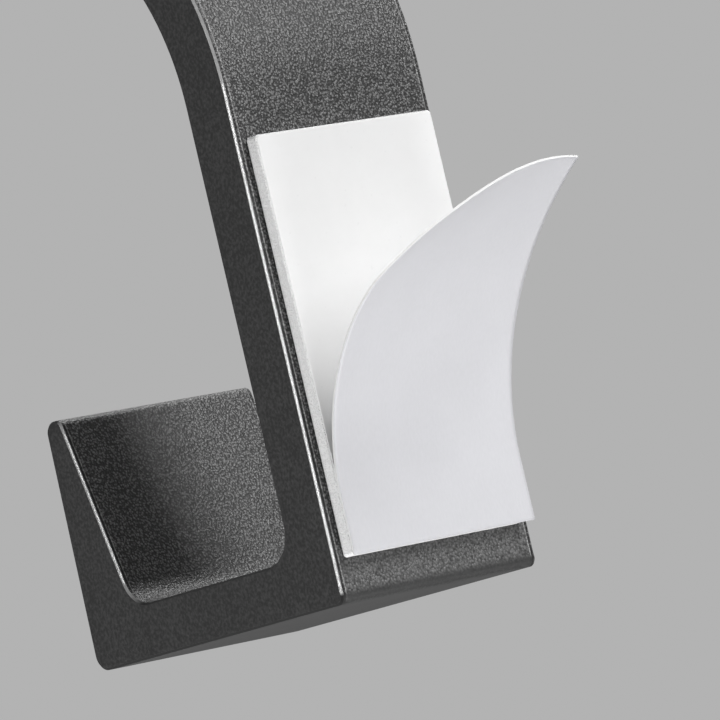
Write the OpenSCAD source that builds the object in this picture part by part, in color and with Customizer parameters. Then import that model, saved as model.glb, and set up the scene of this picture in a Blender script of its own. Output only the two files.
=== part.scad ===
// Adhesive wall hook: a moulded band with a forward arm above and a J cradle below,
// held to the wall by a foam tape pad whose release liner is peeled back from the top.
// The origin is the centre of the pad's wall face, +Y points into the wall, +Z is up.

/* [Hook body] */
// Width of the band across its face
hook_w = 33.4; // [24:0.1:50]
// Depth from the flat back to the toe of the lip
hook_depth = 54.1; // [44:0.1:80]
// Thickness of the upright band and of the arm
band_t = 8.6; // [5:0.1:12]
// Radius rolled along both side edges of the whole outline
edge_r = 0.6; // [0.2:0.05:1]
// Radius of the lower back corner
heel_r = 1.2; // [0.8:0.1:3]
// Radius of the lower front corner
toe_r = 2.2; // [0.8:0.1:5]

/* [Cradle] */
// Thickness of the cradle's floor
floor_t = 7.2; // [4:0.1:10]
// Height of the lip above the underside
lip_h = 34.1; // [26:0.1:45]
// Thickness of the lip at its top
lip_t = 3.3; // [2.4:0.1:6]
// Lean of the lip's inner face from the vertical, in degrees
lip_lean = 14.1; // [4:0.1:18]
// Draft of the lip's front face from the vertical, in degrees
front_draft = 1.2; // [0:0.1:3]
// Radius of the lip's top edge at the front
lip_front_r = 1.7; // [0.8:0.1:2]
// Radius of the lip's top edge on the cradle side
lip_inner_r = 1.3; // [0.8:0.1:2]
// Radius between the floor and the lip
floor_lip_r = 4.6; // [1:0.1:7]
// Radius between the floor and the upright band
floor_wall_r = 5; // [1:0.1:7]

/* [Arm] */
// Straight rise of the band above the top of the pad
arm_rise = 6; // [2:0.5:20]
// Radius of the arm's bend on its front side
arm_r = 34.5; // [26:0.5:45]
// Angle that the arm bends forward, in degrees
arm_bend = 84; // [60:1:95]
// Radius of the saddle on top, where the end turns up again
saddle_r = 12; // [6:0.5:20]
// Angle that the end turns up, in degrees
saddle_bend = 45; // [20:1:70]

/* [Tape pad] */
// Width of the pad
pad_w = 30; // [20:0.5:32]
// Height of the pad
pad_h = 55.5; // [40:0.5:70]
// Distance from the underside of the hook to the pad's lower edge
pad_rise = 5.8; // [3:0.1:12]
// Thickness of the foam core
foam_t = 1.8; // [0.8:0.1:3]
// Thickness of each adhesive film
film_t = 0.1; // [0.05:0.01:0.2]

/* [Release liner] */
// Thickness of the liner sheet
liner_t = 0.3; // [0.1:0.05:0.6]
// How far the liner reaches past the pad on one side, as a tab to pull
liner_tab = 1; // [0:0.1:5]
// How much shorter than the pad the liner is at its middle
liner_short = 0.2; // [0:0.1:5]
// How far the liner's free end bows out from its corners to its middle
end_bow = 2.5; // [0:0.1:6]
// Length at the lower edge that still sticks to the pad
liner_bond = 7.7; // [4:0.1:20]
// Radius of the curl where the liner leaves the pad
curl_start_r = 27.5; // [20:0.1:60]
// Radius of the curl at the free end
curl_end_r = 65; // [30:1:120]
// Lean of the bend lines where the liner leaves the pad, in degrees
lean_start = 2.1; // [0:0.1:10]
// Lean of the bend lines at the free end, in degrees
lean_end = 45.9; // [0:0.1:50]

/* [Hidden] */

// Clearance between the liner and the adhesive that it covers
liner_gap = 0.05;
// Facets: along the arm and the saddle, round the end and each corner, and across a rolled edge
arm_steps = 21;
saddle_steps = 11;
nose_steps = 13;
corner_steps = 6;
edge_steps = 4;
// Facets of the liner: across its width, along its length, and bend lines in its curl
liner_cols = 12;
liner_rows = 24;
bend_lines = 30;
// The largest part of the lip's top that each of its two edge radii may take
lip_front_share = 0.52;
lip_inner_share = 0.42;
// The largest part of the tightest corner radius that the rolled side edges may take
edge_share = 0.9;

// The tape's layers, counted from the hook's back to the wall face at y = 0
tape_t = foam_t + 2 * film_t;
back_y = -tape_t;
pad_bottom_z = -pad_h / 2;
underside_z = pad_bottom_z - pad_rise;

// Heights and places in the outline's own plane: y from the hook's back, z from its underside
arm_z = pad_rise + pad_h + arm_rise;
arm_out_r = arm_r + band_t;
arm_centre = [-arm_out_r, arm_z];
saddle_centre = arm_centre + (arm_out_r + saddle_r) * [cos(arm_bend), sin(arm_bend)];
saddle_from = arm_bend + 180;
saddle_to = saddle_from - saddle_bend;
nose_r = band_t / 2;
nose_centre = saddle_centre + (saddle_r + nose_r) * [cos(saddle_to), sin(saddle_to)];
lip_top_y = -hook_depth + lip_h * tan(front_draft);
lip_foot_y = lip_top_y + lip_t + (lip_h - floor_t) * tan(lip_lean);

lip_front_fit = min(lip_front_r, lip_t * lip_front_share);
lip_inner_fit = min(lip_inner_r, lip_t * lip_inner_share);
edge_fit = min(edge_r, edge_share * min(heel_r, toe_r, lip_front_fit, lip_inner_fit));

function unit(v) = v / norm(v);

// Points of an arc that is cut into n steps, from its first to its last point
function arc(centre, r, from, to, n, first, last) =
    [for (i = [first : last]) centre + r * [cos(from + (to - from) * i / n), sin(from + (to - from) * i / n)]];

// Points that round the corner at b, between the lines to a and to c
function corner(a, b, c, r) =
    let (
        u = unit(a - b),
        v = unit(c - b),
        half = acos(u * v) / 2,
        centre = b + unit(u + v) * r / sin(half),
        middle = atan2(b.y - centre.y, b.x - centre.x),
        turn = sign(u.y * v.x - u.x * v.y) * (90 - half)
    )
    arc(centre, r, middle - turn, middle + turn, corner_steps, 0, corner_steps);

// Sharp corners of the cradle, from the band's front face round to its back
wall_top = [-band_t, arm_z];
wall_foot = [-band_t, floor_t];
lip_foot = [lip_foot_y, floor_t];
lip_inner = [lip_top_y + lip_t, lip_h];
lip_front = [lip_top_y, lip_h];
toe = [-hook_depth, 0];
heel = [0, 0];
back_top = [0, arm_z];

// Closed outline of the moulding, anticlockwise with y to the right and z up. It starts at the lip's top,
// runs along the outer side to the end of the arm and comes back along the inner side. Both sides have
// as many points, so each point has a partner across the band.
outline = concat(
    corner(lip_inner, lip_front, toe, lip_front_fit),
    corner(lip_front, toe, heel, toe_r),
    corner(toe, heel, back_top, heel_r),
    arc(arm_centre, arm_out_r, 0, arm_bend, arm_steps, 0, arm_steps),
    arc(saddle_centre, saddle_r, saddle_from, saddle_to, saddle_steps, 1, saddle_steps),
    arc(nose_centre, nose_r, saddle_to - 180, saddle_to, nose_steps, 1, nose_steps - 1),
    arc(saddle_centre, saddle_r + band_t, saddle_to, saddle_from, saddle_steps, 0, saddle_steps - 1),
    arc(arm_centre, arm_r, arm_bend, 0, arm_steps, 0, arm_steps),
    corner(wall_top, wall_foot, lip_foot, floor_wall_r),
    corner(wall_foot, lip_foot, lip_inner, floor_lip_r),
    corner(lip_foot, lip_inner, lip_front, lip_inner_fit)
);

// The outline drawn in by a distance along its own normals
function drawn_in(points, d) =
    let (n = len(points))
    [for (i = [0 : n - 1])
        let (
            before = unit(points[i] - points[(i + n - 1) % n]),
            after = unit(points[(i + 1) % n] - points[i]),
            along = unit(before + after)
        )
        points[i] - d * [along.y, -along.x]];

// A slab of the outline's shape, centred on x = 0, whose two side edges are rolled
module rolled_slab(points, w, r) {
    n = len(points);
    roll = [for (k = [0 : edge_steps]) 90 * k / edge_steps];
    right = [for (a = roll) [w / 2 - r + r * sin(a), r * (1 - cos(a))]];
    left = [for (k = [edge_steps : -1 : 0]) [-right[k].x, right[k].y]];
    rings = concat(left, right);
    last = len(rings) - 1;
    skin = [for (ring = rings) for (p = drawn_in(points, ring.y)) [ring.x, p.x, p.y]];
    sides = [for (k = [0 : last - 1]) for (i = [0 : n - 1])
        let (j = (i + 1) % n)
        for (face = [[k * n + i, (k + 1) * n + i, (k + 1) * n + j], [k * n + i, (k + 1) * n + j, k * n + j]])
        face];
    rungs = [for (i = [0 : n / 2 - 2])
        for (face = [[i, i + 1, n - 2 - i], [i, n - 2 - i, n - 1 - i]])
        face];
    right_cap = [for (face = rungs) [last * n + face[2], last * n + face[1], last * n + face[0]]];
    polyhedron(skin, concat(rungs, right_cap, sides));
}

// One layer of the tape pad, from y to y + t
module pad_layer(y, t) {
    translate([-pad_w / 2, y, pad_bottom_z])
        cube([pad_w, t, pad_h]);
}

// The liner as a flat sheet that is folded a little along each of its bend lines. A bend line crosses
// the sheet's middle at a height above the lower edge, and leans further the higher it lies.
liner_w = pad_w + liner_tab;
liner_l = pad_h - liner_short;
liner_left = -pad_w / 2 - liner_tab;
liner_mid = liner_left + liner_w / 2;
function end_height(x) = liner_l - end_bow * pow((x - liner_mid) / (liner_w / 2), 2);
fold_reach = liner_l + liner_w / 2 - liner_bond;
fold_gap = fold_reach / bend_lines;
function fold_height(i) = liner_bond + fold_gap * (i + 0.5);
function fold_rise(i) = (fold_height(i) - liner_bond) / (liner_l - liner_bond);
function fold_lean(i) = -lean_start - (lean_end - lean_start) * pow(min(1, fold_rise(i)), 2);
function fold_rate(i) = max(0, 1 / curl_start_r + (1 / curl_end_r - 1 / curl_start_r) * fold_rise(i));
function fold_angle(i) = -fold_gap * fold_rate(i) * 180 / PI;

// A point turned about an axis through a centre
function turned(p, centre, axis, angle) =
    let (q = p - centre)
    centre + q * cos(angle) + cross(axis, q) * sin(angle) + axis * (axis * q) * (1 - cos(angle));

folds = [for (i = [0 : bend_lines - 1])
    [[0, 0, fold_height(i)], [cos(fold_lean(i)), 0, sin(fold_lean(i))], fold_angle(i), tan(fold_lean(i))]];

// The place of a point of the flat sheet once every bend line below it has been folded, the highest first
function folded(flat, p, i) =
    i < 0 ? p :
    let (beyond = flat.z > folds[i][0].z + flat.x * folds[i][3])
    folded(flat, beyond ? turned(p, folds[i][0], folds[i][1], folds[i][2]) : p, i - 1);

module curled_sheet() {
    rows = liner_rows + 1;
    layer = (liner_cols + 1) * rows;
    points = [for (y = [0, liner_t]) for (c = [0 : liner_cols]) for (r = [0 : liner_rows])
        let (x = liner_left + liner_w * c / liner_cols, flat = [x, y, end_height(x) * r / liner_rows])
        folded(flat, flat, bend_lines - 1)];
    cells = [for (c = [0 : liner_cols - 1]) for (r = [0 : liner_rows - 1]) c * rows + r];
    inner = [for (a = cells) for (face = [[a, a + 1, a + rows + 1], [a, a + rows + 1, a + rows]]) face];
    outer = [for (face = inner) [face[2] + layer, face[1] + layer, face[0] + layer]];
    rim = concat(
        [for (r = [0 : liner_rows - 1]) r],
        [for (c = [0 : liner_cols - 1]) c * rows + liner_rows],
        [for (r = [liner_rows : -1 : 1]) liner_cols * rows + r],
        [for (c = [liner_cols : -1 : 1]) c * rows]
    );
    count = len(rim);
    edge = [for (k = [0 : count - 1])
        let (a = rim[k], b = rim[(k + 1) % count])
        for (face = [[a, a + layer, b + layer], [a, b + layer, b]])
        face];
    polyhedron(points, concat(inner, outer, edge));
}

module hook_body() {
    color([0.24, 0.24, 0.25])
        translate([0, back_y, underside_z])
            rolled_slab(outline, hook_w, edge_fit);
}

module hook_side_adhesive() {
    color([0.93, 0.93, 0.9])
        pad_layer(back_y, film_t);
}

module foam_core() {
    color([0.97, 0.97, 0.97])
        pad_layer(back_y + film_t, foam_t);
}

module wall_side_adhesive() {
    color([0.95, 0.95, 0.93])
        pad_layer(-film_t, film_t);
}

module release_liner() {
    color([0.84, 0.85, 0.87])
        translate([0, liner_gap, pad_bottom_z])
            curled_sheet();
}

hook_body();
hook_side_adhesive();
foam_core();
wall_side_adhesive();
release_liner();
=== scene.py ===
"""Looks of the adhesive wall hook: a grained charcoal moulding, a white foam pad and its peeled liner."""

import math

import bmesh
import bpy
from mathutils import Matrix, Vector


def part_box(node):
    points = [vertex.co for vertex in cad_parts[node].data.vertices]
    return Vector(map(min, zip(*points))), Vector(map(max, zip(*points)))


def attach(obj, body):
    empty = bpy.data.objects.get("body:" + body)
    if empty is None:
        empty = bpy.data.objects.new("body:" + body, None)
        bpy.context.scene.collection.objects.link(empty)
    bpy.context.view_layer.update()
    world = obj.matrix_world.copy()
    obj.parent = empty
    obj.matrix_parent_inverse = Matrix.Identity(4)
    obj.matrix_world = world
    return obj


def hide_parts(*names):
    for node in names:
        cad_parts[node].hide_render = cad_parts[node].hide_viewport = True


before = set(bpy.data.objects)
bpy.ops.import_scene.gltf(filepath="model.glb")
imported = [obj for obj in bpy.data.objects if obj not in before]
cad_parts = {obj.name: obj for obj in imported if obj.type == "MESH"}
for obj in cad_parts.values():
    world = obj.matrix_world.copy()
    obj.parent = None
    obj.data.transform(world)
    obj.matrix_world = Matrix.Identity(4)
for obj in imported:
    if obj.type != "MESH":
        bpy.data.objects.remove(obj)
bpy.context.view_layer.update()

MM = 0.001

# Places that the solids give
hook_low, hook_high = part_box("hook_body")
foam_low, foam_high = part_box("foam_core")
wall_film_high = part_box("wall_side_adhesive")[1]
hook_w = hook_high.x - hook_low.x
back_y = hook_high.y
underside_z = hook_low.z
pad_w = foam_high.x - foam_low.x
pad_h = foam_high.z - foam_low.z

# Sizes of the moulding's outline
HOOK_DEPTH = 54.1 * MM
BAND_T = 8.6 * MM
FLOOR_T = 7.2 * MM
LIP_H = 34.1 * MM
LIP_T = 3.3 * MM
LIP_LEAN = math.radians(14.1)
FRONT_DRAFT = math.radians(1.2)
HEEL_R = 1.2 * MM
TOE_R = 2.2 * MM
LIP_FRONT_R = 1.7 * MM
LIP_INNER_R = 1.3 * MM
FLOOR_LIP_R = 4.6 * MM
FLOOR_WALL_R = 5.0 * MM
ARM_RISE = 6.0 * MM
ARM_R = 34.5 * MM
ARM_BEND = math.radians(84)
SADDLE_R = 12.0 * MM
SADDLE_BEND = math.radians(45)

# The smooth bevel along the side edges, the fine line where the grain of the long faces begins, and the
# band beside that line that carries a painted highlight
BEVEL_W = 0.3 * MM
BEVEL_R = 0.06 * MM
GRAIN_LINE_W = 0.42 * MM
GRAIN_LINE_D = 0.12 * MM
PAINTED_HIGHLIGHT_BAND_W = 0.16 * MM
CAP_MARGIN = 0.4 * MM
FACE_STEP = 1.5 * MM
ARC_STEP = math.radians(2.5)
ROUND_STEP = math.radians(7.5)
SAME_POINT = 0.001 * MM
WELD = 0.002 * MM

# The die-cut tape pad
PAD_CORNER_R = 0.5 * MM
PAD_EDGE_R = 0.22 * MM
FILM_EDGE_R = 0.08 * MM
FOAM_WAIST = 0.05 * MM
FOAM_LEVELS = 24
FILM_LEVELS = 8
PAD_STEP = 2.5 * MM
PAD_CORNER_STEP = math.radians(15)

# The liner sheet and the rule of its curl
LINER_TAB = 1.0 * MM
LINER_SHORT = 0.2 * MM
END_BOW = 2.5 * MM
LINER_T = 0.3 * MM
LINER_GAP = 0.05 * MM
LINER_BOND = 7.7 * MM
CURL_START_R = 27.5 * MM
CURL_END_R = 65.0 * MM
LEAN_START = math.radians(2.1)
LEAN_END = math.radians(45.9)
BEND_LINES = 90
LINER_COLS = 48
LINER_ROWS = 88

# The camera: where it stands, what it looks at, its roll and its lens
CAMERA_PLACE = Vector((566.827, 674.161, -64.02)) * MM
CAMERA_AIM = Vector((5.69, -0.98, -3.11)) * MM
CAMERA_ROLL = math.radians(-13.19)
CAMERA_LENS = 341.04
SENSOR_W = 36.0
CLIP_START = 0.01

# The stage: its floor, its background and where the lamps aim
FLOOR_Z = -0.55
FLOOR_R = 6.0
FLOOR_SIDES = 64
FLOOR_TONES = (0.56, 0.6)
FLOOR_WAVES = 6.0
FLOOR_GLOW = 0.32
ROOM_LIGHT = 0.08
BACKGROUND = 0.45
LAMP_AIM = Vector((0, -20, 0)) * MM

# The moulding's zones: how far a normal turns along an axis, or how far a point lies, from 0 to 1
SIDE_TURN = (0.8, 0.97)
UNDER_TURN = (0.96, 0.995)
WALL_TURN = (0.2, 0.6)
BACK_TURN = (0.5, 0.9)
FRONT_TURN = (0.05, 0.5)
HEEL_FADE = (0.7 * HEEL_R, 1.7 * HEEL_R)
WALL_FADE = (0.9 * HEEL_R, 1.3 * HEEL_R)
# how high the strip under the pad reaches, where painted light lifts the tone
FOOT_FADE = (6.0 * MM, 8.0 * MM)
BEVEL_FADE = (-0.02 * MM, 0.02 * MM)
LINE_FADE = (0.25 * GRAIN_LINE_W, 0.5 * GRAIN_LINE_W)
# how the painted highlight band beside the grain line fades out
PAINTED_HIGHLIGHT_BAND_FADE = (0.3 * PAINTED_HIGHLIGHT_BAND_W, 0.7 * PAINTED_HIGHLIGHT_BAND_W)

# The moulding's grain: waves to the metre, contrast and depth
BEAD_WAVES = 2900.0
BEAD_FADE = (0.22, 0.72)
BEAD_SHARE = 0.6
PIT_WAVES = 3300.0
PIT_FADE = (0.2, 0.7)
LEATHER_WAVES = 2200.0
TONE_WAVES = 140.0
GRAIN_MEAN = 0.58
GRAIN_CONTRAST = 1.3
GRAIN_DEPTH = 0.06 * MM
SIDE_RELIEF = 0.37
BEVEL_RELIEF = 0.03

# The moulding's tones, from its darkest to its lightest grey, and the share of it in each zone
MOULDING_TONES = (0.008, 0.22)
BARE_SHADE = 0.05
FACE_SHADE = 0.2
# painted light: the strip under the pad, which the liner shades, is made lighter and its grain softer
FOOT_PAINTED_LIGHT = 0.17
FOOT_SOFTENING = 0.7
UNDER_SHADE = 0.03
SIDE_CONTRAST = 0.5
TONE_CONTRAST = 0.08
# the lighter grey of the painted highlight band beside the grain line
PAINTED_HIGHLIGHT_BAND_TONE = 0.45
BEVEL_TONE = 0.006
# the lighter grey of a painted highlight on the wall-side bevels
PAINTED_RIDGE_HIGHLIGHT_TONE = 0.5
# the near black of the painted shade in the grain line's groove
GROOVE_PAINTED_SHADE_TONE = 0.004

# The moulding's roughness, and what each zone adds to it
MOULDING_ROUGH = 0.33
PIT_ROUGH = 0.12
SIDE_ROUGH = 0.23
BEVEL_ROUGH = 0.4
POLISH = 0.23
HEEL_ROUGH = 0.2
UNDER_ROUGH = 0.43
FRONT_ROUGH = 0.27

# The tape's finishes
RIPPLE_WAVES = 260.0
BUBBLE_WAVES = 1500.0
BUBBLE_FADE = (0.7, 0.78)
FILM_TONES = (0.86, 0.9)
BUBBLE_TONE = 0.8
FILM_RELIEF = 0.03 * MM
CELL_WAVES = 4200.0
CELL_FADE = (0.1, 0.7)
DRIFT_WAVES = 420.0
FOAM_TONES = (0.76, 0.9)
FOAM_RELIEF = 0.06 * MM

# The liner paper's finishes
FIBRE_WAVES = 3200.0
FIBRE_STRETCH = (1.0, 1.0, 0.35)
PAPER_WAVES = 130.0
PAPER_FADE = (0.2, 0.8)
PAPER_RELIEF = 0.012 * MM
INNER_TONES = (0.8, 0.86)
OUTER_TONES = (0.59, 0.635)
OUTER_BLUE = 1.04


class Wire:
    """An output in a node tree. Sums of wires and numbers add Math nodes to the tree."""

    def __init__(self, tree, socket=None):
        self.tree = tree
        self.socket = socket

    def node(self, kind, sockets=(), out=0, **settings):
        """Any node: its settings are set first, then the values or wires of its sockets."""
        made = self.tree.nodes.new(kind)
        for name, value in settings.items():
            setattr(made, name, value)
        for name, value in dict(sockets).items():
            found = socket_of(made.inputs, name)
            if isinstance(value, Wire):
                self.tree.links.new(value.socket, found)
            else:
                found.default_value = value
        return Wire(self.tree, socket_of(made.outputs, out) if made.outputs else None)

    def other(self, name):
        """Another output of the same node."""
        return Wire(self.tree, socket_of(self.socket.node.outputs, name))

    def math(self, operation, *values):
        return self.node("ShaderNodeMath", enumerate(values), operation=operation)

    def clamped(self):
        return self.node("ShaderNodeClamp", {"Value": self})

    def ramp(self, low, high):
        """0 at low, 1 at high, and smooth between."""
        return self.node(
            "ShaderNodeMapRange",
            {"Value": self, "From Min": low, "From Max": high},
            interpolation_type="SMOOTHSTEP",
        )

    def __add__(self, other):
        return self.math("ADD", self, other)

    __radd__ = __add__

    def __sub__(self, other):
        return self.math("SUBTRACT", self, other)

    def __rsub__(self, other):
        return self.math("SUBTRACT", other, self)

    def __mul__(self, other):
        return self.math("MULTIPLY", self, other)

    __rmul__ = __mul__

    def __truediv__(self, other):
        return self.math("DIVIDE", self, other)

    def __neg__(self):
        return self.math("MULTIPLY", self, -1.0)

    def __gt__(self, other):
        return self.math("GREATER_THAN", self, other)


def socket_of(sockets, key):
    if isinstance(key, int):
        return sockets[key]
    named = [s for s in sockets if s.identifier == key] or [s for s in sockets if s.name == key]
    return named[0]


def link_piece(name, mesh):
    piece = bpy.data.objects.new(name, mesh)
    bpy.context.scene.collection.objects.link(piece)
    return piece


# Outline of the moulding


def arc(centre, r, start, end, step):
    """Points of an arc from start to end, both included."""
    count = max(2, math.ceil(abs(end - start) / step))
    turns = [start + (end - start) * i / count for i in range(count + 1)]
    return [centre + r * Vector((math.cos(a), math.sin(a))) for a in turns]


def corner(a, b, c, r):
    """Points that round the corner at b, between the lines to a and to c."""
    u, v = (a - b).normalized(), (c - b).normalized()
    half = u.angle(v) / 2
    centre = b + (u + v).normalized() * r / math.sin(half)
    middle = math.atan2(b.y - centre.y, b.x - centre.x)
    turn = math.copysign(math.pi / 2 - half, u.y * v.x - u.x * v.y)
    return arc(centre, r, middle - turn, middle + turn, ROUND_STEP)


def filled_in(points, step):
    """A closed line with further points on its long straights, and no point twice."""
    line = [p for i, p in enumerate(points) if (p - points[i - 1]).length > SAME_POINT]
    full = []
    for here, there in zip(line, line[1:] + line[:1]):
        count = max(1, math.ceil((there - here).length / step))
        full += [here.lerp(there, i / count) for i in range(count)]
    return full


def hook_outline():
    """The moulding's side view as (y, z) points, anticlockwise, from the top of the lip."""
    place = Vector((back_y, underside_z))
    arm_z = pad_h + ARM_RISE + foam_low.z - underside_z
    arm_out_r = ARM_R + BAND_T
    arm_centre = Vector((-arm_out_r, arm_z))
    saddle_dir = Vector((math.cos(ARM_BEND), math.sin(ARM_BEND)))
    saddle_centre = arm_centre + (arm_out_r + SADDLE_R) * saddle_dir
    saddle_from = ARM_BEND + math.pi
    saddle_to = saddle_from - SADDLE_BEND
    nose_dir = Vector((math.cos(saddle_to), math.sin(saddle_to)))
    nose_centre = saddle_centre + (SADDLE_R + BAND_T / 2) * nose_dir
    lip_top_y = -HOOK_DEPTH + LIP_H * math.tan(FRONT_DRAFT)
    lip_foot = Vector((lip_top_y + LIP_T + (LIP_H - FLOOR_T) * math.tan(LIP_LEAN), FLOOR_T))
    lip_inner = Vector((lip_top_y + LIP_T, LIP_H))
    lip_front = Vector((lip_top_y, LIP_H))
    toe = Vector((-HOOK_DEPTH, 0))
    heel = Vector((0, 0))
    back_top = Vector((0, arm_z))
    wall_top = Vector((-BAND_T, arm_z))
    wall_foot = Vector((-BAND_T, FLOOR_T))
    points = (
        corner(lip_inner, lip_front, toe, LIP_FRONT_R)
        + corner(lip_front, toe, heel, TOE_R)
        + corner(toe, heel, back_top, HEEL_R)
        + arc(arm_centre, arm_out_r, 0, ARM_BEND, ARC_STEP)
        + arc(saddle_centre, SADDLE_R, saddle_from, saddle_to, ARC_STEP)
        + arc(nose_centre, BAND_T / 2, saddle_to - math.pi, saddle_to, ROUND_STEP)
        + arc(saddle_centre, SADDLE_R + BAND_T, saddle_to, saddle_from, ARC_STEP)
        + arc(arm_centre, ARM_R, ARM_BEND, 0, ARC_STEP)
        + corner(wall_top, wall_foot, lip_foot, FLOOR_WALL_R)
        + corner(wall_foot, lip_foot, lip_inner, FLOOR_LIP_R)
        + corner(lip_foot, lip_inner, lip_front, LIP_INNER_R)
    )
    return filled_in([place + p for p in points], FACE_STEP)


def edge_profile():
    """Across the band, as (outward, sideways) points: side face, bevel, grain line, and back again."""
    half = hook_w / 2
    bevel_out = Vector((-BEVEL_W, half))
    bevel_in = Vector((0, half - BEVEL_W))
    side = Vector((-BEVEL_W - CAP_MARGIN, half))
    line_out = Vector((0, bevel_in.y - BEVEL_R / 2))
    line_mid = Vector((-GRAIN_LINE_D, line_out.y - GRAIN_LINE_W / 2))
    line_in = Vector((0, line_out.y - GRAIN_LINE_W))
    face = Vector((0, line_in.y - CAP_MARGIN))
    bevel = corner(line_out, bevel_in, bevel_out, BEVEL_R) + corner(bevel_in, bevel_out, side, BEVEL_R)
    right = [face, line_in, line_mid, line_out] + bevel + [side]
    left = [Vector((p.x, -p.y)) for p in reversed(right)]
    return left + right


def line_object(name, points, closed):
    """A plain line in its own XY plane, for a tree to read."""
    data = bpy.data.curves.new(name, "CURVE")
    data.dimensions = "3D"
    data.twist_mode = "Z_UP"
    spline = data.splines.new("POLY")
    spline.points.add(len(points) - 1)
    for target, p in zip(spline.points, points):
        target.co = (p.x, p.y, 0, 1)
    spline.use_cyclic_u = closed
    return link_piece(name, data)


# Geometry Nodes


def new_tree(name, inputs):
    """An empty tree with named inputs, and a wire to each of them."""
    tree = bpy.data.node_groups.new(name, "GeometryNodeTree")
    tree.interface.new_socket("Geometry", in_out="INPUT", socket_type="NodeSocketGeometry")
    for label, kind in inputs.items():
        tree.interface.new_socket(label, in_out="INPUT", socket_type="NodeSocket" + kind)
    tree.interface.new_socket("Geometry", in_out="OUTPUT", socket_type="NodeSocketGeometry")
    start = Wire(tree).node("NodeGroupInput")
    return tree, {label: start.other(label) for label in inputs}


def end_tree(tree, geometry, finishes):
    """Ends a tree: instances made real, then a finish for all faces and for chosen ones."""
    geometry = Wire(tree).node("GeometryNodeRealizeInstances", {"Geometry": geometry})
    for material, chosen in finishes:
        sockets = {"Geometry": geometry, "Material": material}
        if chosen is not None:
            sockets["Selection"] = chosen
        geometry = Wire(tree).node("GeometryNodeSetMaterial", sockets)
    Wire(tree).node("NodeGroupOutput", {"Geometry": geometry})


def piece_from(tree, name, values):
    """A plain mesh piece that the tree makes with these values of its named inputs."""
    holder = link_piece(name + "_holder", bpy.data.meshes.new(name + "_holder"))
    modifier = holder.modifiers.new("tree", "NODES")
    modifier.node_group = tree
    for item in tree.interface.items_tree:
        if item.in_out == "INPUT" and item.name in values:
            modifier[item.identifier] = values[item.name]
    holder.update_tag()
    graph = bpy.context.evaluated_depsgraph_get()
    mesh = bpy.data.meshes.new_from_object(holder.evaluated_get(graph))
    mesh.name = name
    for i in reversed(range(len(mesh.materials))):
        if mesh.materials[i] is None:
            mesh.materials.pop(index=i)
    bpy.data.objects.remove(holder)
    return link_piece(name, mesh)


def swept_hook_tree():
    """Sweeps the edge profile round the outline, then closes the two side faces."""
    inputs = {"Outline": "Object", "Profile": "Object", "Half Width": "Float", "Side Inset": "Float"}
    tree, given = new_tree("swept_hook", inputs | {"Finish": "Material"})
    at = Wire(tree)
    outline = at.node("GeometryNodeObjectInfo", {"Object": given["Outline"]}, out="Geometry")
    profile = at.node("GeometryNodeObjectInfo", {"Object": given["Profile"]}, out="Geometry")
    band = at.node("GeometryNodeCurveToMesh", {"Curve": outline, "Profile Curve": profile})
    outward = at.node("GeometryNodeInputNormal")
    inset = at.node("ShaderNodeVectorMath", {0: outward, "Scale": -given["Side Inset"]}, operation="SCALE")
    rim = at.node("GeometryNodeSetPosition", {"Geometry": outline, "Offset": inset})
    face = at.node("GeometryNodeFillCurve", {"Curve": rim})
    up = at.node("ShaderNodeCombineXYZ", {"Z": given["Half Width"]})
    down = at.node("ShaderNodeCombineXYZ", {"Z": -given["Half Width"]})
    right = at.node("GeometryNodeTransform", {"Geometry": face, "Translation": up})
    left = at.node("GeometryNodeTransform", {"Geometry": face, "Translation": down})
    left = at.node("GeometryNodeFlipFaces", {"Mesh": left})
    whole = joined(at, band, right, left)
    whole = at.node("GeometryNodeMergeByDistance", {"Geometry": whole, "Distance": WELD})
    old = at.node("ShaderNodeSeparateXYZ", {0: at.node("GeometryNodeInputPosition")})
    turned = at.node(
        "ShaderNodeCombineXYZ",
        {"X": old.other("Z"), "Y": old.other("X"), "Z": old.other("Y")},
    )
    whole = at.node("GeometryNodeSetPosition", {"Geometry": whole, "Position": turned})
    whole = at.node("GeometryNodeSetShadeSmooth", {"Geometry": whole, "Shade Smooth": True})
    end_tree(tree, whole, [(given["Finish"], None)])
    return tree


def joined(at, *geometries):
    """One Join Geometry node for all of these."""
    made = at.node("GeometryNodeJoinGeometry")
    for geometry in reversed(geometries):
        at.tree.links.new(geometry.socket, made.socket.node.inputs[0])
    return made


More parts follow.
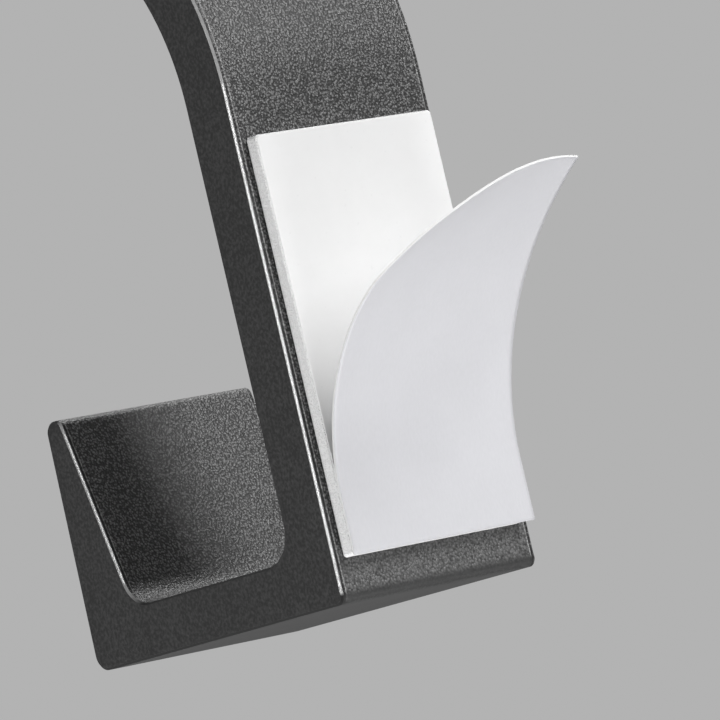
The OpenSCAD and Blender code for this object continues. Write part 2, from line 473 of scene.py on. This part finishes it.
def curled_liner_tree():
    """Folds a flat sheet along many lines, from its free end down, and gives it its thickness."""
    sizes = ("Width", "Length", "End Bow", "Middle X", "Thickness", "Bond")
    bends = ("Start Bend", "End Bend", "Start Lean", "End Lean")
    inputs = dict.fromkeys(sizes + bends, "Float")
    inputs |= {"Lines": "Int", "Columns": "Int", "Rows": "Int", "Place": "Vector"}
    inputs |= {"Inner Finish": "Material", "Outer Finish": "Material"}
    tree, given = new_tree("curled_liner", inputs)
    at = Wire(tree)
    width, length, bond = given["Width"], given["Length"], given["Bond"]
    grid = at.node(
        "GeometryNodeMeshGrid",
        {"Size X": width, "Size Y": length, "Vertices X": given["Columns"], "Vertices Y": given["Rows"]},
        out="Mesh",
    )
    old = at.node("ShaderNodeSeparateXYZ", {0: at.node("GeometryNodeInputPosition")})
    aside = old.other("X") / (width * 0.5)
    share = old.other("Y") / length + 0.5
    upright = at.node(
        "ShaderNodeCombineXYZ",
        {"X": old.other("X") + given["Middle X"], "Z": share * (length - given["End Bow"] * aside * aside)},
    )
    flat = at.node("GeometryNodeSetPosition", {"Geometry": grid, "Position": upright})
    flat = at.node(
        "GeometryNodeStoreNamedAttribute",
        {"Geometry": flat, "Name": "flat", "Value": at.node("GeometryNodeInputPosition")},
        data_type="FLOAT_VECTOR",
        domain="POINT",
    )
    start = tree.nodes.new("GeometryNodeRepeatInput")
    end = tree.nodes.new("GeometryNodeRepeatOutput")
    start.pair_with_output(end)
    curled = Wire(tree, socket_of(start.outputs, "Geometry"))
    tree.links.new(given["Lines"].socket, socket_of(start.inputs, "Iterations"))
    tree.links.new(flat.socket, socket_of(start.inputs, "Geometry"))
    step = (length + width * 0.5 - bond) / given["Lines"]
    line = given["Lines"] - 1 - curled.other("Iteration")
    height = bond + step * (line + 0.5)
    rise = (height - bond) / (length - bond)
    grown = at.math("MINIMUM", rise, 1.0)
    lean = -(given["Start Lean"] + (given["End Lean"] - given["Start Lean"]) * grown * grown)
    bend = at.math("MAXIMUM", given["Start Bend"] + (given["End Bend"] - given["Start Bend"]) * rise, 0.0)
    mark = at.node("GeometryNodeInputNamedAttribute", {"Name": "flat"}, data_type="FLOAT_VECTOR")
    mark = at.node("ShaderNodeSeparateXYZ", {0: mark})
    axis = at.node("ShaderNodeCombineXYZ", {"X": at.math("COSINE", lean), "Z": at.math("SINE", lean)})
    bent = at.node(
        "ShaderNodeVectorRotate",
        {
            "Vector": at.node("GeometryNodeInputPosition"),
            "Center": at.node("ShaderNodeCombineXYZ", {"Z": height}),
            "Axis": axis,
            "Angle": -(step * bend),
        },
        rotation_type="AXIS_ANGLE",
    )
    beyond = mark.other("Z") > height + mark.other("X") * at.math("TANGENT", lean)
    bent = at.node("GeometryNodeSetPosition", {"Geometry": curled, "Selection": beyond, "Position": bent})
    tree.links.new(bent.socket, socket_of(end.inputs, "Geometry"))
    sheet = Wire(tree, socket_of(end.outputs, "Geometry"))
    sheet = at.node("GeometryNodeSetPosition", {"Geometry": sheet, "Offset": given["Place"]})
    inner = at.node("GeometryNodeSetShadeSmooth", {"Geometry": sheet, "Shade Smooth": True})
    outer = at.node("GeometryNodeFlipFaces", {"Mesh": inner})
    outer = at.node(
        "GeometryNodeExtrudeMesh",
        {"Mesh": outer, "Offset Scale": given["Thickness"], "Individual": False},
    )
    cut = at.node(
        "GeometryNodeSetShadeSmooth",
        {"Geometry": outer, "Selection": outer.other("Side"), "Shade Smooth": False},
    )
    whole = at.node(
        "GeometryNodeMergeByDistance",
        {"Geometry": joined(at, inner, cut), "Distance": WELD},
    )
    end_tree(tree, whole, [(given["Inner Finish"], None), (given["Outer Finish"], outer.other("Top"))])
    return tree


# Finishes


def new_finish(name):
    """An empty material, and a wire that adds nodes to it."""
    material = bpy.data.materials.new(name)
    material.use_nodes = True
    material.node_tree.nodes.clear()
    return material, Wire(material.node_tree)


def shaded(paint, sockets):
    """Ends a finish in one Principled shader."""
    shader = paint.node("ShaderNodeBsdfPrincipled", sockets)
    paint.node("ShaderNodeOutputMaterial", {"Surface": shader})


def grey(level, blue=1.0):
    return (level, level, level * blue, 1.0)


def blended(paint, mask, low, high):
    """The colour low where the mask is 0, and high where it is 1."""
    sockets = {"Factor_Float": mask, "A_Color": low, "B_Color": high}
    return paint.node("ShaderNodeMix", sockets, out="Result_Color", data_type="RGBA")


def toned(paint, mask, tones, blue=1.0):
    """Greys from the first tone, where the mask is 0, to the second, where it is 1."""
    low, high = tones
    return blended(paint, mask, grey(low, blue), grey(high, blue))


def seen_ray(paint):
    """1 where the camera, a gloss or a clear surface looks, and 0 where light is gathered."""
    ray = paint.node("ShaderNodeLightPath", out="Is Camera Ray")
    return (ray + ray.other("Is Glossy Ray") + ray.other("Is Transmission Ray")).clamped()


def mottle(paint, where, scale, detail=2.0, roughness=0.5):
    """Cloudy noise from 0 to 1, with this many waves to the metre."""
    sockets = {"Vector": where, "Scale": scale, "Detail": detail, "Roughness": roughness}
    return paint.node("ShaderNodeTexNoise", sockets)


def raised(paint, height, depth):
    """A normal for a height that stands this deep at 1."""
    return paint.node("ShaderNodeBump", {"Height": height, "Distance": depth, "Strength": 1.0})


def moulding_zones(paint, where):
    """Where the moulding's zones lie, each as a mask from 0 to 1."""
    place = paint.node("ShaderNodeSeparateXYZ", {0: where})
    facing = paint.node("ShaderNodeSeparateXYZ", {0: where.other("Normal")})
    across = paint.math("ABSOLUTE", place)
    level = place.other("Z") - underside_z
    bevel_start = hook_w / 2 - BEVEL_W
    line_middle = bevel_start - BEVEL_R / 2 - GRAIN_LINE_W / 2
    # the middle of the painted highlight band
    highlight_band_middle = line_middle - GRAIN_LINE_W / 2 - PAINTED_HIGHLIGHT_BAND_W / 2
    from_line = paint.math("ABSOLUTE", across - line_middle)
    from_highlight_band = paint.math("ABSOLUTE", across - highlight_band_middle)
    side = paint.math("ABSOLUTE", facing.other("X")).ramp(*SIDE_TURN)
    under = (-facing.other("Z")).ramp(*UNDER_TURN)
    # painted shade: the bottom rounding is made darker
    heel = (1 - level.ramp(*HEEL_FADE)) * (1 - under) * (1 - side)
    bevel = (across - bevel_start).ramp(*BEVEL_FADE) * (1 - side)
    wallward = facing.other("Y").ramp(*WALL_TURN) * level.ramp(*WALL_FADE)
    return {
        "side": side,
        "under": under,
        "heel": heel,
        "bevel": bevel,
        "wallward": wallward,
        "front": (-facing.other("Y")).ramp(*FRONT_TURN) * (1 - side),
        # painted light on the strip under the pad, which the liner shades
        "painted_light_foot": facing.other("Y").ramp(*BACK_TURN) * (1 - level.ramp(*FOOT_FADE)),
        # painted shade in the grain line's groove
        "line": 1 - from_line.ramp(*LINE_FADE),
        # painted highlight: a light band beside the grain line on wall-side faces
        "painted_highlight_band": wallward * (1 - from_highlight_band.ramp(*PAINTED_HIGHLIGHT_BAND_FADE)),
        # On the bottom rounding the grained tone falls away, leaving it darker: painted shade
        "long_face": (1 - side) * (1 - bevel) * (1 - under) * (1 - 0.9 * heel),
    }


def spark_grain(paint, where):
    """The grain that a spark-eroded mould leaves: round beads with small pits between, from 0 to 1."""
    sockets = {"Vector": where, "Scale": BEAD_WAVES, "Randomness": 0.95}
    bead = 1 - paint.node("ShaderNodeTexVoronoi", sockets).ramp(*BEAD_FADE)
    pit = mottle(paint, where, PIT_WAVES, 0.0).ramp(*PIT_FADE)
    return (1 - BEAD_SHARE) * pit + BEAD_SHARE * bead


def charcoal_moulding():
    """Dark moulded plastic: grained long faces, finer side faces, a smooth underside, glossy wall-side
    edges. Painted highlights lighten the wall-side bevels and a band beside the grain line; painted shade
    darkens the grain line and the bottom rounding; painted light lifts the strip under the pad.
    """
    material, paint = new_finish("charcoal_moulding")
    where = paint.node("ShaderNodeTexCoord", out="Object")
    zone = moulding_zones(paint, where)
    side, bevel, wallward = zone["side"], zone["bevel"], zone["wallward"]
    long_face, painted_light_foot, under = zone["long_face"], zone["painted_light_foot"], zone["under"]
    grain = spark_grain(paint, where)
    leather = mottle(paint, where, LEATHER_WAVES, 2.0, 0.6)
    cloud = mottle(paint, where, TONE_WAVES, 3.0, 0.55)
    # Painted light: the strip under the pad is lighter and less contrasty, standing in for light that the
    # liner blocks
    contrast = GRAIN_CONTRAST - FOOT_SOFTENING * painted_light_foot
    speckle = FACE_SHADE + FOOT_PAINTED_LIGHT * painted_light_foot + contrast * (grain - GRAIN_MEAN)
    shade = BARE_SHADE + long_face * speckle + SIDE_CONTRAST * side * (leather - 0.5)
    shade = shade + TONE_CONTRAST * (cloud - 0.5) + UNDER_SHADE * under
    # Painted highlight: the wall-side bevels are lightened to stand for a bright ridge, broken up a little
    # by the mottle
    painted_ridge_highlight = bevel * wallward * (0.75 + 0.5 * (leather - 0.5))
    colour = toned(paint, shade.clamped(), MOULDING_TONES)
    # Painted highlight: a light band beside the grain line on the wall-side faces
    colour = blended(paint, 0.75 * zone["painted_highlight_band"] * (0.3 + 0.7 * grain), colour, grey(PAINTED_HIGHLIGHT_BAND_TONE))
    colour = blended(paint, bevel, colour, grey(BEVEL_TONE))
    colour = blended(paint, painted_ridge_highlight, colour, grey(PAINTED_RIDGE_HIGHLIGHT_TONE))
    # Painted shade: the grain line's groove is drawn near black
    colour = blended(paint, 0.95 * zone["line"], colour, grey(GROOVE_PAINTED_SHADE_TONE))
    rough = MOULDING_ROUGH + PIT_ROUGH * long_face * (1 - grain)
    rough = rough + SIDE_ROUGH * side + HEEL_ROUGH * zone["heel"] + UNDER_ROUGH * under
    rough = rough + BEVEL_ROUGH * bevel * (1 - wallward) - POLISH * bevel * wallward
    rough = rough + FRONT_ROUGH * zone["front"] * (1 - bevel)
    height = long_face * grain + SIDE_RELIEF * side * leather + BEVEL_RELIEF * bevel * leather
    shaded(
        paint,
        {
            "Base Color": colour,
            "Roughness": rough,
            "Normal": raised(paint, height, GRAIN_DEPTH),
            "Specular IOR Level": 0.5,
        },
    )
    return material


def tacky_film():
    """Clear acrylic adhesive over white foam: glossy, with faint ripples and a few trapped bubbles."""
    material, paint = new_finish("tacky_film")
    where = paint.node("ShaderNodeTexCoord", out="Object")
    ripple = mottle(paint, where, RIPPLE_WAVES, 3.0, 0.5)
    bubble = mottle(paint, where, BUBBLE_WAVES, 1.0, 0.3).ramp(*BUBBLE_FADE)
    colour = toned(paint, ripple, FILM_TONES)
    colour = blended(paint, 0.4 * bubble, colour, grey(BUBBLE_TONE))
    shaded(
        paint,
        {
            "Base Color": colour,
            "Roughness": 0.34 + 0.14 * ripple,
            "Normal": raised(paint, ripple + 0.3 * bubble, FILM_RELIEF),
            "Specular IOR Level": 0.35,
        },
    )
    return material


def white_foam():
    """Closed-cell foam with cut cells on its sides."""
    material, paint = new_finish("white_foam")
    where = paint.node("ShaderNodeTexCoord", out="Object")
    cell = paint.node("ShaderNodeTexVoronoi", {"Vector": where, "Scale": CELL_WAVES}).ramp(*CELL_FADE)
    drift = mottle(paint, where, DRIFT_WAVES, 2.0, 0.5)
    colour = toned(paint, 0.75 * cell + 0.25 * drift, FOAM_TONES)
    shaded(
        paint,
        {
            "Base Color": colour,
            "Roughness": 0.85 - 0.1 * cell,
            "Normal": raised(paint, cell, FOAM_RELIEF),
            "Specular IOR Level": 0.25,
        },
    )
    return material


def liner_paper(name, tones, blue, rough, gloss):
    """Coated paper: fibres under the coating, drawn on the flat sheet."""
    material, paint = new_finish(name)
    flat = paint.node("ShaderNodeAttribute", out="Vector", attribute_name="flat")
    stretched = paint.node("ShaderNodeMapping", {"Vector": flat, "Scale": FIBRE_STRETCH})
    fibre = mottle(paint, stretched, FIBRE_WAVES, 3.0, 0.6)
    cloud = mottle(paint, flat, PAPER_WAVES, 3.0, 0.5)
    colour = toned(paint, (0.55 * fibre + 0.45 * cloud).ramp(*PAPER_FADE), tones, blue)
    shaded(
        paint,
        {
            "Base Color": colour,
            "Roughness": rough + 0.12 * (fibre - 0.5),
            "Normal": raised(paint, fibre + 0.5 * cloud, PAPER_RELIEF),
            "Specular IOR Level": gloss,
        },
    )
    return material


def pale_floor():
    """Matte studio paper, as pale as the background where the camera or a gloss sees it."""
    material, paint = new_finish("pale_floor")
    where = paint.node("ShaderNodeTexCoord", out="Object")
    cloud = mottle(paint, where, FLOOR_WAVES, 3.0, 0.5)
    colour = toned(paint, cloud, FLOOR_TONES)
    glow = toned(paint, seen_ray(paint), (0.0, FLOOR_GLOW))
    shaded(
        paint,
        {
            "Base Color": colour,
            "Roughness": 0.9,
            "Specular IOR Level": 0.1,
            "Emission Color": glow,
            "Emission Strength": 1.0,
        },
    )
    return material


# Pieces


def die_cut_slab(name, low, high, edge_r, levels, waist=0.0, trim=0.0):
    """A slab cut from tape: rounded corners, eased edges, and sides that pull in by the waist."""
    middle = (low + high) / 2
    half_w, half_h = (high.x - low.x) / 2 - trim, (high.z - low.z) / 2 - trim
    thick = high.y - low.y
    mesh = bmesh.new()
    rings = []
    for i in range(levels + 1):
        t = i / levels
        y = low.y + thick * t
        near = high.y - y
        eased = edge_r - math.sqrt(max(0.0, edge_r**2 - max(0.0, edge_r - near) ** 2))
        inset = eased + waist * (1 - (2 * t - 1) ** 2)
        w, h = half_w - inset, half_h - inset
        ring = []
        for x_side, z_side, start in ((1, 1, 0), (-1, 1, 90), (-1, -1, 180), (1, -1, 270)):
            centre = Vector((x_side * (w - PAD_CORNER_R), z_side * (h - PAD_CORNER_R)))
            turn = math.radians(start)
            ring += arc(centre, PAD_CORNER_R, turn, turn + math.pi / 2, PAD_CORNER_STEP)
        ring = filled_in(ring, PAD_STEP)
        rings.append([mesh.verts.new((middle.x + p.x, y, middle.z + p.y)) for p in ring])
    count = len(rings[0])
    for lower, upper in zip(rings, rings[1:]):
        for i in range(count):
            j = (i + 1) % count
            mesh.faces.new((lower[i], upper[i], upper[j], lower[j])).smooth = True
    mesh.faces.new(rings[0])
    mesh.faces.new(reversed(rings[-1]))
    bmesh.ops.recalc_face_normals(mesh, faces=mesh.faces)
    data = bpy.data.meshes.new(name)
    mesh.to_mesh(data)
    mesh.free()
    return link_piece(name, data)


def make_hook(finish):
    outline = line_object("outline_line", hook_outline(), True)
    profile = line_object("profile_line", edge_profile(), False)
    hook = piece_from(
        swept_hook_tree(),
        "hook_moulding",
        {
            "Outline": outline,
            "Profile": profile,
            "Half Width": hook_w / 2,
            "Side Inset": BEVEL_W + CAP_MARGIN,
            "Finish": finish,
        },
    )
    bpy.data.objects.remove(outline)
    bpy.data.objects.remove(profile)
    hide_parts("hook_body")
    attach(hook, "hook")


def make_pad(foam_finish, film_finish):
    foam = die_cut_slab("foam_pad", foam_low, foam_high, PAD_EDGE_R, FOAM_LEVELS, waist=FOAM_WAIST)
    foam.data.materials.append(foam_finish)
    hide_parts("foam_core")
    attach(foam, "hook")
    for name, node in (("wall_side_film", "wall_side_adhesive"), ("hook_side_film", "hook_side_adhesive")):
        low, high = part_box(node)
        film = die_cut_slab(name, low, high, FILM_EDGE_R, FILM_LEVELS, trim=PAD_EDGE_R)
        film.data.materials.append(film_finish)
        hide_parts(node)
        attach(film, "hook")


def make_liner(inner_finish, outer_finish):
    width = pad_w + LINER_TAB
    length = pad_h - LINER_SHORT
    liner = piece_from(
        curled_liner_tree(),
        "liner_sheet",
        {
            "Width": width,
            "Length": length,
            "End Bow": END_BOW,
            "Middle X": -LINER_TAB / 2,
            "Thickness": LINER_T,
            "Bond": LINER_BOND,
            "Start Bend": 1 / CURL_START_R,
            "End Bend": 1 / CURL_END_R,
            "Start Lean": LEAN_START,
            "End Lean": LEAN_END,
            "Lines": BEND_LINES,
            "Columns": LINER_COLS,
            "Rows": LINER_ROWS,
            "Place": (0.0, wall_film_high.y + LINER_GAP, foam_low.z),
            "Inner Finish": inner_finish,
            "Outer Finish": outer_finish,
        },
    )
    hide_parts("release_liner")
    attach(liner, "liner")


# Stage, light and camera


def make_stage(finish):
    floor = link_piece("studio_floor", bpy.data.meshes.new("studio_floor"))
    mesh = bmesh.new()
    bmesh.ops.create_circle(mesh, cap_ends=True, segments=FLOOR_SIDES, radius=FLOOR_R)
    bmesh.ops.translate(mesh, verts=mesh.verts, vec=(0, 0, FLOOR_Z))
    mesh.to_mesh(floor.data)
    mesh.free()
    floor.data.materials.append(finish)


def soft_lamp(name, azimuth, elevation, distance, size, watts):
    """A soft box that looks at the hook's middle and doesn't show itself. Azimuth 0 is +X, 90 is +Y."""
    data = bpy.data.lights.new(name, "AREA")
    data.shape = "RECTANGLE"
    data.size, data.size_y = size
    data.energy = watts
    lamp = bpy.data.objects.new(name, data)
    bpy.context.scene.collection.objects.link(lamp)
    turn, rise = math.radians(azimuth), math.radians(elevation)
    away = Vector((math.cos(turn) * math.cos(rise), math.sin(turn) * math.cos(rise), math.sin(rise)))
    lamp.location = LAMP_AIM + distance * away
    lamp.rotation_euler = away.to_track_quat("Z", "Y").to_euler()
    lamp.visible_camera = False


def make_world():
    """Even studio light, and a pale background where the camera or a gloss looks past the object."""
    world = bpy.data.worlds.new("studio")
    bpy.context.scene.world = world
    world.use_nodes = True
    world.node_tree.nodes.clear()
    sky = Wire(world.node_tree)
    light = sky.node("ShaderNodeBackground", {"Color": grey(1.0), "Strength": ROOM_LIGHT})
    pale = sky.node("ShaderNodeBackground", {"Color": grey(BACKGROUND), "Strength": 1.0})
    mixed = sky.node("ShaderNodeMixShader", {0: seen_ray(sky), 1: light, 2: pale})
    sky.node("ShaderNodeOutputWorld", {"Surface": mixed})


def make_camera():
    data = bpy.data.cameras.new("camera")
    data.sensor_width = SENSOR_W
    data.lens = CAMERA_LENS
    data.clip_start = CLIP_START
    camera = bpy.data.objects.new("camera", data)
    bpy.context.scene.collection.objects.link(camera)
    look = (CAMERA_AIM - CAMERA_PLACE).to_track_quat("-Z", "Y").to_matrix()
    turn = look @ Matrix.Rotation(CAMERA_ROLL, 3, "Z")
    camera.location = CAMERA_PLACE
    camera.rotation_euler = turn.to_euler()
    bpy.context.scene.camera = camera


make_hook(charcoal_moulding())
make_pad(white_foam(), tacky_film())
make_liner(
    liner_paper("liner_inner_white", INNER_TONES, 1.0, rough=0.6, gloss=0.3),
    liner_paper("liner_outer_grey", OUTER_TONES, OUTER_BLUE, rough=0.5, gloss=0.35),
)
make_stage(pale_floor())
make_world()
soft_lamp("key", azimuth=114, elevation=35, distance=0.7, size=(0.18, 0.5), watts=4.3)
soft_lamp("rim", azimuth=206, elevation=61, distance=0.7, size=(0.5, 0.25), watts=2.7)
soft_lamp("band_edge_strip", azimuth=39, elevation=4.8, distance=0.7, size=(0.025, 0.16), watts=0.38)
soft_lamp("lip_edge_strip", azimuth=32.3, elevation=22, distance=0.7, size=(0.025, 0.06), watts=0.09)
soft_lamp("side_fill", azimuth=0, elevation=-40, distance=0.7, size=(0.3, 0.3), watts=3.7)
soft_lamp("low_fill", azimuth=95, elevation=-50, distance=0.55, size=(0.3, 0.3), watts=1.55)
make_camera()

bpy.context.scene.view_settings.view_transform = "Standard"
